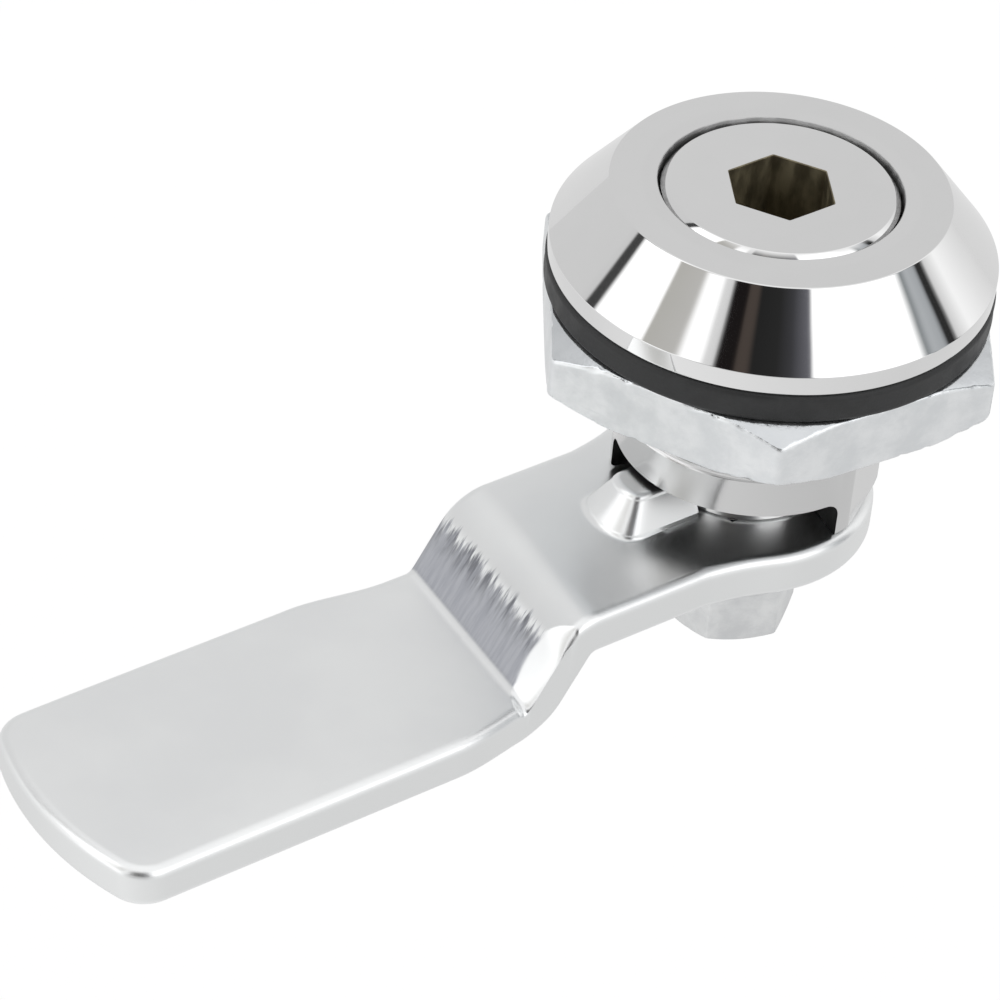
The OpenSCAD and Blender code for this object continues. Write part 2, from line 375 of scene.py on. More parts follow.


# soft bright plate, with drawn streaks above the crease, whose dark bluish colour is a painted
# reflection
def platedCam():
    material, wire, feed = startMaterial("platedCam")
    place = placeOn(wire)
    cloud = noiseOn(wire, place, camLook["cloudScale"], detail=4.0).ease(0.3, 0.7)
    grain = noiseOn(wire, place, camLook["grainScale"], detail=5.0, roughness=0.6)
    normal = wire.node("ShaderNodeNewGeometry", output="Normal")
    upward = axisOf(wire, normal, "Z").ease(0.35, 0.5)
    sideways = axisOf(wire, normal, "Y").ease(0.0, 0.06)
    rise = wire.maths("ABSOLUTE", axisOf(wire, normal, "Z"))
    skewed = axisOf(wire, place, "X") - axisOf(wire, place, "Y") * math.tan(camLook["skew"])
    streaks = noiseOn(wire, placeOn(wire, camLook["streakStretch"]), camLook["streakScale"],
                      detail=4.0, roughness=0.65).ease(0.36, 0.66)
    ticks = noiseOn(wire, placeOn(wire, camLook["tickStretch"]), camLook["tickScale"],
                    detail=2.0, roughness=0.5).ease(0.40, 0.60)
    start = camLook["streakFrom"]
    end = camLook["streakTo"]
    ragged = skewed + camLook["ragged"] * (streaks - 0.5)
    streakAndReflectionBand = ragged.ease(start - 0.25, start + 0.25) * upward * (1 - sideways)
    streakAndReflectionBand = streakAndReflectionBand * (1 - skewed.ease(end - 0.1, end + 0.1))
    streakAndReflectionBand = streakAndReflectionBand * (0.85 + 0.15 * streaks)
    # the ticks are draw marks; their darkness is part of the painted reflection
    rim = 1 - skewed.ease(start + 0.2, start + 1.3)      # short dark ticks below the upper end
    plain = cloud.tint(paint(*camLook["shade"]), paint(*camLook["base"]))
    # painted shade darkens the steep flanks
    plain = rise.ease(0.1, 0.4).tint(paint(*camLook["flank"]), plain)
    marksAndReflection = rim * (0.35 * streaks + 0.65 * ticks)
    marksAndReflection = marksAndReflection.tint(paint(*camLook["streak"]), paint(*camLook["dark"]))
    height = grain * camLook["grainShare"] + streaks * streakAndReflectionBand
    feed({
        # the band's colour is a painted dark reflection
        "Base Color": streakAndReflectionBand.tint(plain, marksAndReflection),
        "Metallic": 1.0,
        "Roughness": between(camLook["roughness"], cloud) + camLook["streakRoughness"] * streakAndReflectionBand,
        "Normal": bumpOf(wire, height, camLook["bumpStrength"], camLook["bumpDepth"]),
    })
    return material


# painted shade: the nut's chamfers get a darker copy of the zinc, with a smoother finish
shadedChamferLook = {"base": (0.72, 0.74, 0.76), "shade": (0.66, 0.68, 0.70), "roughness": (0.12, 0.20)}
nutLook = {"base": (0.93, 0.945, 0.955), "shade": (0.80, 0.82, 0.835), "roughness": (0.29, 0.40)}
boltLook = {"base": (0.88, 0.89, 0.89), "shade": (0.70, 0.71, 0.72), "roughness": (0.3, 0.46)}
zincLook = {
    "mottleScale": 0.42,
    "grainScale": 3.5,
    "scuffScale": 1.1,
    "scuffStretch": (0.5, 0.5, 2.5),
    "scuffShare": 0.5,
    "mottleRise": 0.8,
    "bumpStrength": 0.12,
    "bumpDepth": 0.12,
}


# satin zinc plate with the mottle of a barrel-plated part
def zincPlate(name, look):
    material, wire, feed = startMaterial(name)
    place = placeOn(wire)
    mottle = noiseOn(wire, place, zincLook["mottleScale"], detail=5.0, roughness=0.62)
    mottle = mottle.ease(0.32, 0.68)
    grain = noiseOn(wire, place, zincLook["grainScale"], detail=4.0)
    scuff = noiseOn(wire, placeOn(wire, zincLook["scuffStretch"]), zincLook["scuffScale"],
                    detail=5.0, roughness=0.7).ease(0.58, 0.72)
    tone = mottle * (1 - zincLook["scuffShare"] * scuff)
    height = grain + zincLook["mottleRise"] * mottle
    feed({
        "Base Color": tone.tint(paint(*look["shade"]), paint(*look["base"])),
        "Metallic": 1.0,
        "Roughness": between(look["roughness"], mottle),
        "Normal": bumpOf(wire, height, zincLook["bumpStrength"], zincLook["bumpDepth"]),
    })
    return material


rubberLook = {
    "base": (0.030, 0.0305, 0.0315),
    "shade": (0.0155, 0.016, 0.0165),
    "roughness": (0.45, 0.62),
    "dustScale": 0.8,
    "grainScale": 6.0,
    "bumpStrength": 0.2,
    "bumpDepth": 0.1,
}


# moulded rubber, slightly dusty
def mouldedRubber():
    material, wire, feed = startMaterial("mouldedRubber")
    place = placeOn(wire)
    dust = noiseOn(wire, place, rubberLook["dustScale"], detail=4.0).ease(0.35, 0.7)
    grain = noiseOn(wire, place, rubberLook["grainScale"], detail=3.0)
    feed({
        "Base Color": dust.tint(paint(*rubberLook["shade"]), paint(*rubberLook["base"])),
        "Roughness": between(rubberLook["roughness"], dust),
        "Normal": bumpOf(wire, grain, rubberLook["bumpStrength"], rubberLook["bumpDepth"]),
    })
    return material


chrome = brightPlate("brightChrome", chromeLook)
shadedBarrelMetal = brightPlate("shadedBarrelMetal", shadedBarrelLook)
socketMetal = bareMetalAndShade("socketMetal", socketLook)
paintedShadeMetal = bareMetalAndShade("paintedShadeMetal", paintedShadeLook)
seatMetal = bareMetalAndShade("seatMetal", seatLook)
camMetal = platedCam()
nutMetal = zincPlate("zincNut", nutLook)
shadedChamferMetal = zincPlate("shadedZincChamfer", shadedChamferLook)
boltMetal = zincPlate("zincBolt", boltLook)
rubber = mouldedRubber()
print("finishes mixed")

# housing: head, threaded barrel with two flats, and stop collar
housing = {
    "columns": 540,
    "threadRows": 96,
    "rimH": 1.4,
    "faceR": 10.6,
    "seatR": 7.65,
    "seatFloor": 2.95,
    "boreR": 5.54,
    "threadR": 9.0,
    "threadEnd": -10.5,
    "pitch": 1.5,
    "threadDepth": 0.8,
    "runOut": 0.9,
    "pilotR": 8.6,
    "flatsHalf": 8.1,
    "gapTurn": math.radians(31.7),
    "gapCeiling": -13.4,
    "gapApex": 3.65,
    "gapRound": 1.1,
    "seatRound": 0.05,
    "faceRound": 0.15,
    "rimRound": 0.25,
    "endRound": 0.3,
}
threadForm = {"crest": 0.12, "flank": 0.76}      # shares of half the pitch


# ridge radius of a thread, fading out at both ends
def threadRadius(angle, height, top, end, outer, pitch, depth, runOut):
    phase = (height / pitch + angle / fullTurn) % 1
    valley = min(max((abs(2 * phase - 1) - threadForm["crest"]) / threadForm["flank"], 0), 1)
    fade = min(max(min(top - height, height - end) / runOut, 0), 1)
    return outer - depth * valley * fade


def barrelRadius(angle, radius):
    lean = abs(math.sin(angle - housing["gapTurn"]))
    return min(radius, housing["flatsHalf"] / max(lean, 0.01))


def onBarrel(radius):
    return lambda angle: barrelRadius(angle, radius)


def threadRing(height):
    return lambda angle: barrelRadius(angle, threadRadius(
        angle, height, 0, housing["threadEnd"], housing["threadR"], housing["pitch"],
        housing["threadDepth"], housing["runOut"]))


def makeHousing():
    headR = housingHigh.x
    headTop = housingHigh.z
    collarEnd = housingLow.z
    rings = softProfile([
        (housing["boreR"], collarEnd, 0),
        (housing["boreR"], housing["seatFloor"], 0),
        (housing["seatR"], housing["seatFloor"], 0),
        (housing["seatR"], headTop, housing["seatRound"]),
        (housing["faceR"], headTop, housing["faceRound"]),
        (headR, housing["rimH"], housing["faceRound"]),
        (headR, 0, housing["rimRound"]),
        (housing["threadR"] + 1, 0, 0),
    ])
    for row in range(housing["threadRows"] + 1):
        height = housing["threadEnd"] * row / housing["threadRows"]
        rings.append((threadRing(height), height))
    rings.append((onBarrel(housing["pilotR"] + 0.1), housing["threadEnd"] - 0.12))
    lower = softProfile([
        (housing["pilotR"], housing["threadEnd"] - 0.35, 0),
        (housing["pilotR"], collarEnd, housing["endRound"]),
        (housing["boreR"], collarEnd, 0),
    ])
    rings += [(onBarrel(radius), height) for radius, height in lower[:-1]]
    piece = meshObject("lockHousing", *ringMesh(rings, housing["columns"], True))
    carve(piece, gapCutter(), "DIFFERENCE")
    finishes = [chrome, paintedShadeMetal, seatMetal, shadedBarrelMetal]
    settle(piece, "housing", finishes, "housing")
    for face in piece.data.polygons:
        centre = face.center / mm
        inWall = housing["boreR"] + 0.1 < centre.xy.length < housing["flatsHalf"] - 0.05
        # the stop gap's faces get the nearly black painted shade
        inGap = inWall and collarEnd + 0.1 < centre.z < housing["gapCeiling"] + 0.1
        inSeat = centre.xy.length < housing["seatR"] + 0.05 and centre.z > 0
        # the barrel below the head takes the darker chrome, painted shade under the nut
        onBarrelSide = centre.xy.length > housing["boreR"] + 0.1 and centre.z < -0.05
        if inGap or inSeat or onBarrelSide:
            face.material_index = 1 if inGap else 2 if inSeat else 3      # place in finishes


# a right-angled wedge with round upper corners, which opens the stop gap in the collar
def gapCutter():
    rounding = housing["gapRound"]
    ceiling = housing["gapCeiling"]
    levels = [(housingLow.z - 1, 0)]
    arcSteps = 8
    for step in range(arcSteps + 1):
        rise = math.radians(90 * step / arcSteps)
        levels.append((ceiling - rounding * (1 - math.sin(rise)), rounding * (1 - math.cos(rise))))
    points = []
    reach = 2 * housingHigh.x
    for height, inset in levels:
        apex = inset * math.sqrt(2) - housing["gapApex"]
        for along, aside in ((apex, 0), (apex + reach, reach), (apex + reach, -reach)):
            spot = Vector((along, aside)).to_3d()
            spot.rotate(Quaternion((0, 0, 1), housing["gapTurn"]))
            points.append((spot.x, spot.y, height))
    caps = [(0, 1, 2), tuple(len(points) - 3 + corner for corner in range(3))]
    return meshObject("gapCutter", points, caps + joinLoops(len(levels), 3))


makeHousing()
print("housing turned, threaded and cut")

# spindle: disc with the key socket, shaft with its seal groove, square and tapped hole
spindle = {
    "columns": 288,
    "discR": 7.45,
    "discFloor": 3.0,
    "bevel": 0.4,
    "shaftR": 5.5,
    "discRound": 0.12,
    "floorRound": 0.15,
    "keyFlats": 6.1,
    "keyTurn": 0.0,
    "keyCorner": 0.12,
    "keyFloor": -0.4,
    "keyPoint": 0.3,
    "mouthBreak": 0.06,
    "grooveAt": -4.0,
    "grooveHalf": 0.95,
    "grooveR": 4.05,
    "grooveRound": 0.12,
    "lipRound": 0.08,
    "squareFlats": 8.0,
    "squareTurn": math.radians(45),
    "squareCorner": 0.2,
    "squareFrom": -16.3,
    "holeR": 2.55,
    "holeBreak": 0.3,
    "holeTop": -6.8,
}


def makeSpindle():
    top = spindleHigh.z
    bottom = spindleLow.z

    def socketRing(grow):
        return lambda angle: grow + polygonRadius(
            angle, spindle["keyFlats"], 6, spindle["keyTurn"], spindle["keyCorner"])

    def squareRing(angle):
        side = polygonRadius(angle, spindle["squareFlats"], 4, spindle["squareTurn"],
                             spindle["squareCorner"])
        return min(side, spindle["shaftR"])

    grooveTop = spindle["grooveAt"] + spindle["grooveHalf"]
    grooveEnd = spindle["grooveAt"] - spindle["grooveHalf"]
    rings = [
        (0, spindle["keyFloor"] - spindle["keyPoint"]),
        (spindle["keyFlats"] * 0.45, spindle["keyFloor"]),
        (socketRing(0), spindle["keyFloor"]),
        (socketRing(0), top - spindle["mouthBreak"]),
        (socketRing(spindle["mouthBreak"]), top),
    ]
    rings += softProfile([
        (spindle["keyFlats"], top, 0),
        (spindle["discR"] - spindle["bevel"], top, spindle["discRound"]),
        (spindle["discR"], top - spindle["bevel"], spindle["discRound"]),
        (spindle["discR"], spindle["discFloor"], spindle["floorRound"]),
        (spindle["shaftR"], spindle["discFloor"], 0),
        (spindle["shaftR"], grooveTop, spindle["lipRound"]),
        (spindle["grooveR"], grooveTop, spindle["grooveRound"]),
        (spindle["grooveR"], grooveEnd, spindle["grooveRound"]),
        (spindle["shaftR"], grooveEnd, spindle["lipRound"]),
        (spindle["shaftR"], spindle["squareFrom"], spindle["squareCorner"]),
        (spindle["squareFlats"] * 0.6, spindle["squareFrom"], 0),
    ], 3)[:-1]
    rings += [
        (squareRing, spindle["squareFrom"]),
        (squareRing, bottom),
        (spindle["holeR"] + spindle["holeBreak"], bottom),
        (spindle["holeR"], bottom + spindle["holeBreak"]),
        (spindle["holeR"], spindle["holeTop"]),
        (0, spindle["holeTop"] + 1),
    ]
    piece = meshObject("keySpindle", *ringMesh(rings, spindle["columns"], False))
    settle(piece, "spindle", [chrome, socketMetal, paintedShadeMetal], "spindle")
    for face in piece.data.polygons:
        centre = face.center / mm
        away = centre.xy.length
        inSocket = away < spindle["keyFlats"] * 0.6 and centre.z > spindle["keyFloor"] - 1
        if inSocket and centre.z < top - spindle["mouthBreak"] / 4:
            face.material_index = 1
        # the disc's side in its seat gets the nearly black painted shade
        elif away > spindle["discR"] - 0.05 and centre.z < top - spindle["bevel"]:
            face.material_index = 2


makeSpindle()
print("spindle turned, with its key socket")

# gasket: moulded ring with soft edges
gasket = {"columns": 288, "holeR": 9.05, "edge": 0.38, "waist": 0.06}


def makeGasket():
    outer = gasketHigh.x
    top = gasketHigh.z
    bottom = gasketLow.z
    rings = softProfile([
        (gasket["holeR"], bottom, 0),
        (gasket["holeR"], top, 0),
        (outer, top, gasket["edge"]),
        (outer - gasket["waist"], (top + bottom) / 2, 0),
        (outer, bottom, gasket["edge"]),
    ])
    piece = meshObject("headGasket", *ringMesh(rings, gasket["columns"], True))
    settle(piece, "housing", [rubber], "gasket")


makeGasket()
print("gasket moulded")

# nut: hexagon with chamfered corners and a threaded hole's plain mouth
nut = {
    "columns": 360,
    "flats": 27.4,
    "turn": math.radians(55),
    "corner": 0.45,
    "drop": 0.8,
    "edge": 0.22,
    "holeR": 9.05,
    "mouth": 0.5,
    "nicks": 3.0,
}
chamferSlope = math.tan(math.radians(25))      # of the nut and of the bolt's head


# rings over one chamfered end of a hexagon, from the flat face out to its side
def hexEndRings(flats, turn, corner, face, sign, drop, edge, nicks):
    faceR = flats / 2 / math.cos(math.pi / 6) - drop / chamferSlope

    def side(angle):
        return polygonRadius(angle, flats, 6, turn, corner)

    def edgeAt(angle):
        spot = Vector((math.cos(angle), math.sin(angle), 0)) * flats / 2 * 0.9
        spot += Vector((0, 0, face))
        return edge * (1 + nicks * max(0, noise.noise(spot * 1.7) - 0.2))

    def rim(angle, inset, fall):
        reach = side(angle) - inset * edgeAt(angle)
        return face - sign * (max(0, reach - faceR) * chamferSlope + fall * edgeAt(angle))

    def near(angle, offset):
        return min(faceR + offset, side(angle) - edgeAt(angle))

    crisp = 0.05      # keeps the line between the flat face and the chamfer sharp
    return [
        (lambda angle: near(angle, -crisp), face),
        (lambda angle: near(angle, 0), face),
        (lambda angle: near(angle, crisp),
         lambda angle: face - sign * max(0, near(angle, crisp) - faceR) * chamferSlope),
        (lambda angle: side(angle) - edgeAt(angle), lambda angle: rim(angle, 1, 0)),
        (lambda angle: side(angle) - 0.5 * edgeAt(angle), lambda angle: rim(angle, 0.5, 0.13)),
        (lambda angle: side(angle) - 0.13 * edgeAt(angle), lambda angle: rim(angle, 0.13, 0.5)),
        (side, lambda angle: rim(angle, 0, 1)),
    ]


def makeNut():
    top = nutHigh.z
    bottom = nutLow.z
    rings = [
        (nut["holeR"], bottom + nut["mouth"]),
        (nut["holeR"], top - nut["mouth"]),
        (nut["holeR"] + nut["mouth"], top),
    ]
    shape = (nut["flats"], nut["turn"], nut["corner"])
    rings += hexEndRings(*shape, top, 1, nut["drop"], nut["edge"], nut["nicks"])
    rings += reversed(hexEndRings(*shape, bottom, -1, nut["drop"], nut["edge"], nut["nicks"]))
    rings.append((nut["holeR"] + nut["mouth"], bottom))
    piece = meshObject("clampNut", *ringMesh(rings, nut["columns"], True))
    settle(piece, "housing", [nutMetal, shadedChamferMetal], "hex_nut")
    for face in piece.data.polygons:
        # the chamfers take the darker zinc, painted shade
        if 0.6 < abs(face.normal.z) < 0.98 and face.center.xy.length > nut["flats"] / 2 * mm:
            face.material_index = 1


makeNut()
print("nut cut")

# cam: cranked plate with soft edges, stop lug and square hole
cam = {
    "thick": 3.0,
    "top": -16.3,
    "crank": 5.0,
    "slope": math.radians(57),
    "bendR": 0.8,
    "creaseX": 21.8,
    "skew": camLook["skew"],
    "neckHalf": 7.45,
    "tipHalf": 8.4,
    "nearWidenX": 20.5,
    "farWidenX": 22.5,
    "widenLen": 7.0,
    "endR": 9.1,
    "endShift": 0.8,
    "tipArc": 21.0,
    "tipCorner": 2.6,
    "crown": 0.14,
    "edge": 0.75,
    "softEdge": 2.3,
    "facetFall": 0.75,
    "softFrom": 18.6,
    "softTo": 22.6,
    "holeW": 8.1,
    "bendStep": 0.14,      # between points along the bends, and along the flat stretches
    "flatStep": 0.6,
    "neckReach": 2.2,
    "neckEasing": 40,
}
lug = {
    "half": 2.5,
    "top": -13.8,
    "inner": 5.6,
    "outer": 11.7,
    "lean": 0.6,
    "nose": 4.4,
    "draft": 0.95,
    "round": 0.45,
    "flare": 0.4,
    "easing": 6,
    "collarR": 9.0,
    "clearLen": 1.2,
}

bendMid = cam["bendR"] + cam["thick"] / 2
slopeLen = (cam["crank"] - 2 * bendMid * (1 - math.cos(cam["slope"]))) / math.sin(cam["slope"])
crankRun = 2 * bendMid * math.sin(cam["slope"]) + slopeLen * math.cos(cam["slope"])
bendX = cam["creaseX"] - crankRun
crankX = (bendX + cam["creaseX"]) / 2


# height of one face of the plate, whose bends have the given radii
def plateHeight(x, y, face, upperR, lowerR):
    along = crankX + (x - crankX) * math.cos(cam["skew"]) - y * math.sin(cam["skew"])
    tipFace = face - cam["crank"]
    upperEnd = bendX + upperR * math.sin(cam["slope"])
    lowerStart = cam["creaseX"] - lowerR * math.sin(cam["slope"])
    if along <= bendX:
        return face
    if along <= upperEnd:
        return face - upperR + math.sqrt(upperR ** 2 - (along - bendX) ** 2)
    if along <= lowerStart:
        bent = upperR * (1 - math.cos(cam["slope"]))
        return face - bent - (along - upperEnd) * math.tan(cam["slope"])
    if along <= cam["creaseX"]:
        return tipFace + lowerR - math.sqrt(lowerR ** 2 - (along - cam["creaseX"]) ** 2)
    return tipFace


# the tip's upper face falls a little towards its edges
def upperFace(x, y):
    share = min(max((x - cam["creaseX"] - 1) / (camHigh.x - cam["creaseX"] - 1), 0), 1)
    crown = cam["crown"] * (min(share * 4, 1) * (abs(y) / cam["tipHalf"]) ** 4 + share ** 8)
    return plateHeight(x, y, cam["top"], cam["bendR"] + cam["thick"], cam["bendR"]) - crown


def lowerFace(x, y):
    return plateHeight(x, y, cam["top"] - cam["thick"], cam["bendR"], cam["bendR"] + cam["thick"])


# half-width of the arm on one side, 1 for the near flank and -1 for the far one
def flankAt(x, side):
    start = cam["nearWidenX"] if side > 0 else cam["farWidenX"]
    share = min(max((x - start) / cam["widenLen"], 0), 1)
    return cam["neckHalf"] + (cam["tipHalf"] - cam["neckHalf"]) * share * share * (3 - 2 * share)


# points along the arm, close together where the plate bends
def armStations(first, last):
    stations = []
    x = first
    while x < last:
        stations.append(x)
        inBends = bendX - 1.5 < x < cam["creaseX"] + 2
        x += cam["bendStep"] if inBends else cam["flatStep"]
    return stations + [last]


def camOutline():
    tipCornerY = cam["tipHalf"] - cam["tipCorner"]
    arcX = camHigh.x - cam["tipArc"]
    cornerX = arcX + math.sqrt((cam["tipArc"] - cam["tipCorner"]) ** 2 - tipCornerY ** 2)
    arcAngle = math.atan2(tipCornerY, cornerX - arcX)
    meetX = cam["endShift"] + math.sqrt(cam["endR"] ** 2 - cam["neckHalf"] ** 2)
    meetAngle = math.atan2(cam["neckHalf"], meetX - cam["endShift"])
    stations = armStations(meetX, cornerX)
    outline = [(x, flankAt(x, 1)) for x in stations]
    cornerSteps = 14
    tipSteps = 28
    for step in range(1, cornerSteps + 1):
        angle = math.pi / 2 + (arcAngle - math.pi / 2) * step / cornerSteps
        outline.append((cornerX + cam["tipCorner"] * math.cos(angle),
                        tipCornerY + cam["tipCorner"] * math.sin(angle)))
    for step in range(1, tipSteps):
        angle = arcAngle * (1 - 2 * step / tipSteps)
        outline.append((arcX + cam["tipArc"] * math.cos(angle), cam["tipArc"] * math.sin(angle)))
    for step in range(cornerSteps):
        angle = -arcAngle - (math.pi / 2 - arcAngle) * step / cornerSteps
        outline.append((cornerX + cam["tipCorner"] * math.cos(angle),
                        -tipCornerY + cam["tipCorner"] * math.sin(angle)))
    outline += [(x, -flankAt(x, -1)) for x in reversed(stations)]
    endSteps = 96
    for step in range(1, endSteps):
        angle = -meetAngle - (fullTurn - 2 * meetAngle) * step / endSteps
        outline.append((cam["endShift"] + cam["endR"] * math.cos(angle),
                        cam["endR"] * math.sin(angle)))
    return easeNeck(outline, meetX), cornerX


# a point moved towards its two neighbours
def evened(before, here, after):
    return ((before[0] + 2 * here[0] + after[0]) / 4, (before[1] + 2 * here[1] + after[1]) / 4)


# rounds the inner corners where the neck meets the round end
def easeNeck(outline, meetX):
    for turn in range(cam["neckEasing"]):
        last = outline
        outline = []
        for index, (x, y) in enumerate(last):
            before = last[index - 1]
            after = last[(index + 1) % len(last)]
            near = abs(x - meetX) < cam["neckReach"]
            outline.append(evened(before, (x, y), after) if near else (x, y))
    return outline


# 1 in the middle of the stretch where the slope's near edge is worn to a facet, 0 outside it
def facetShare(x, y):
    share = (x - cam["softFrom"]) / (cam["softTo"] - cam["softFrom"])
    if y < 0 or not 0 < share < 1:
        return 0
    return math.sin(math.pi * share) ** 0.7


# how far in and how far down a point of the upper edge lies, from the flank (0) to the face (1)
def edgePoint(step, facet):
    angle = math.pi / 2 * (1 - step)
    roundIn = cam["edge"] * (1 - math.cos(math.pi / 2 - angle))
    roundDown = cam["edge"] * (1 - math.sin(math.pi / 2 - angle))
    flatIn = step ** 1.5
    flatDown = cam["facetFall"] * (1 - flatIn) + cam["edge"] / 6 * (1 - step) ** 4
    return (roundIn + (cam["softEdge"] * flatIn - roundIn) * facet,
            roundDown + (flatDown - roundDown) * facet)


def makePlate():
    outline, spineEnd = camOutline()
    count = len(outline)
    inward = []
    for index in range(count):
        before = Vector(outline[index - 1])
        after = Vector(outline[(index + 1) % count])
        step = (after - before).normalized()
        inward.append(Vector((step.y, -step.x)))
    edgeSteps = 8
    rows = [(step / edgeSteps, 0) for step in range(edgeSteps, -1, -1)]
    shares = (0.012, 0.1, 0.25, 0.4, 0.55, 0.7, 0.85, 1.0)
    topRows = [(1, share) for share in reversed(shares)] + rows
    points = []
    for face, sign, order in ((upperFace, -1, topRows), (lowerFace, 1, topRows[::-1])):
        for step, share in order:
            for index in range(count):
                facet = facetShare(*outline[index]) if face is upperFace else 0
                inset, fall = edgePoint(step, facet)
                spot = Vector(outline[index]) + inward[index] * inset
                spine = Vector((min(max(spot.x, cam["endShift"]), spineEnd), 0))
                spot = spot.lerp(spine, share)
                points.append((spot.x, spot.y, face(spot.x, spot.y) + sign * fall))
    return meshObject("crankedCam", points, joinLoops(2 * len(topRows), count))


# one level slice through the lug, with its round nose; its foot flares only outside the collar
def lugSlice(rise, grow):
    half = lug["half"] + grow
    nose = lug["nose"] + grow - lug["lean"] * min(max(rise, 0) / (lug["top"] - cam["top"]), 1)
    centre = lug["outer"] - lug["nose"]
    reach = math.asin(min(half / nose, 1))
    cornerX = centre + nose * math.cos(reach)
    steps = 16
    flank = []
    for step in range(steps):
        x = lug["inner"] + (cornerX - lug["inner"]) * step / steps
        clear = min(max((x - lug["collarR"]) / lug["clearLen"], 0), 1)
        flank.append((x, lug["half"] + min(grow, 0) + max(grow, 0) * clear))
    outline = list(flank)
    for step in range(steps + 1):
        angle = reach * (1 - 2 * step / steps)
        outline.append((centre + nose * math.cos(angle), nose * math.sin(angle)))
    outline += [(x, -y) for x, y in reversed(flank)]
    for turn in range(lug["easing"]):
        middle = [evened(*three) for three in zip(outline, outline[1:], outline[2:])]
        outline = [outline[0]] + middle + [outline[-1]]
    return outline


def makeLug():
    height = lug["top"] - cam["top"]
    steps = 7
    levels = [(-0.5, lug["flare"])]
    for step in range(steps + 1):
        angle = math.pi / 2 * step / steps
        levels.append((lug["flare"] * (1 - math.cos(angle)), lug["flare"] * (1 - math.sin(angle))))
    for step in range(steps + 1):
        angle = math.pi / 2 * step / steps
        levels.append((height - lug["round"] * (1 - math.sin(angle)),
                       -lug["draft"] - lug["round"] * (1 - math.cos(angle))))
    points = []
    for rise, grow in levels:
        points += [(x, y, cam["top"] + rise) for x, y in lugSlice(rise, grow)]
    count = len(points) // len(levels)
    caps = [tuple(range(count)), tuple(range(len(points) - count, len(points)))]
    return meshObject("lugBlank", points, caps + joinLoops(len(levels), count))


def makeCam():
    piece = makePlate()
    carve(piece, makeLug(), "UNION")
    half = cam["holeW"] / 2
    depths = (cam["top"] - cam["thick"] - 1, cam["top"] + 1)
    corners = [(-half, -half), (half, -half), (half, half), (-half, half)]
    points = [(x, y, z) for z in depths for x, y in corners]
    faces = [(3, 2, 1, 0), (4, 5, 6, 7)] + joinLoops(2, 4)
    carve(piece, meshObject("holeCutter", points, faces), "DIFFERENCE")
    settle(piece, "spindle", [camMetal], "cam", crispAngle=50)


makeCam()
print("cam bent, with its lug")

# washers under the cam
washer = {"columns": 192, "holeR": 2.7, "edge": 0.25, "holeRound": 0.15}
spring = {"steps": 120, "holeR": 2.7, "split": 1.0, "lean": math.radians(20), "edge": 0.18}


def makeFlatWasher():
    rings = softProfile([
        (washer["holeR"], washerLow.z, washer["holeRound"]),
        (washer["holeR"], washerHigh.z, washer["holeRound"]),
        (washerHigh.x, washerHigh.z, washer["edge"]),
        (washerHigh.x, washerLow.z, washer["edge"]),
    ], 3)
    piece = meshObject("flatWasher", *ringMesh(rings, washer["columns"], True))
    settle(piece, "spindle", [boltMetal], "flat_washer")


# a split ring whose two ends lean the same way
def makeSpringWasher():
    section = softProfile([
        (spring["holeR"], springLow.z, spring["edge"]),
        (spring["holeR"], springHigh.z, spring["edge"]),
        (springHigh.y, springHigh.z, spring["edge"]),
        (springHigh.y, springLow.z, spring["edge"]),
    ], 3)
    count = len(section)
    middle = (springLow.z + springHigh.z) / 2
    points = []
    for step in range(spring["steps"] + 1):
        share = step / spring["steps"]
        for radius, height in section:
            offset = -(height - middle) * math.tan(spring["lean"])
            start = (spring["split"] / 2 + offset) / radius
            end = fullTurn + (offset - spring["split"] / 2) / radius
            angle = start + (end - start) * share
            points.append((radius * math.cos(angle), radius * math.sin(angle), height))
    caps = [tuple(range(count)), tuple(range(len(points) - count, len(points)))]
    piece = meshObject("springWasher", points, caps + joinLoops(spring["steps"] + 1, count))
    settle(piece, "spindle", [boltMetal], "spring_washer")


makeFlatWasher()
makeSpringWasher()
print("washers made")

# bolt: chamfered hexagon head and a threaded shank
bolt = {
    "columns": 240,
    "flats": 8.0,
    "turn": math.radians(36),
    "corner": 0.2,
    "headH": 4.3,
    "drop": 0.6,
    "edge": 0.16,
    "nicks": 1.0,
    "shankR": 2.5,
    "pitch": 0.8,
    "threadDepth": 0.42,
    "threadRows": 90,
    "plainLen": 0.8,
    "runOut": 0.4,
    "point": 0.7,
}


def makeBolt():
    bottom = boltLow.z
    seat = bottom + bolt["headH"]
    end = boltHigh.z
    threadFrom = seat + bolt["plainLen"]
    threadTo = end - bolt["point"]

    def side(angle):
        return polygonRadius(angle, bolt["flats"], 6, bolt["turn"], bolt["corner"])

    def shankRing(height):
        return lambda angle: threadRadius(angle, height, threadTo, threadFrom, bolt["shankR"],
                                          bolt["pitch"], bolt["threadDepth"], bolt["runOut"])

    shape = (bolt["flats"], bolt["turn"], bolt["corner"])
    rings = [(0, bottom)]
    rings += hexEndRings(*shape, bottom, -1, bolt["drop"], bolt["edge"], bolt["nicks"])
    rings += [
        (side, seat - bolt["edge"]),
        (lambda angle: side(angle) - bolt["edge"], seat),
        (bolt["shankR"], seat),
    ]
    for row in range(bolt["threadRows"] + 1):
        height = threadFrom + (threadTo - threadFrom) * row / bolt["threadRows"]
        rings.append((shankRing(height), height))
    rings += [(bolt["shankR"] - bolt["point"], end), (0, end)]
    piece = meshObject("camBolt", *ringMesh(rings, bolt["columns"], False))
    settle(piece, "spindle", [boltMetal], "cam_bolt")


makeBolt()
print("bolt made")

# the seal ring lies inside the barrel and keeps its solid
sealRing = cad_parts["spindle_seal"]
sealRing.data.materials.clear()
sealRing.data.materials.append(rubber)

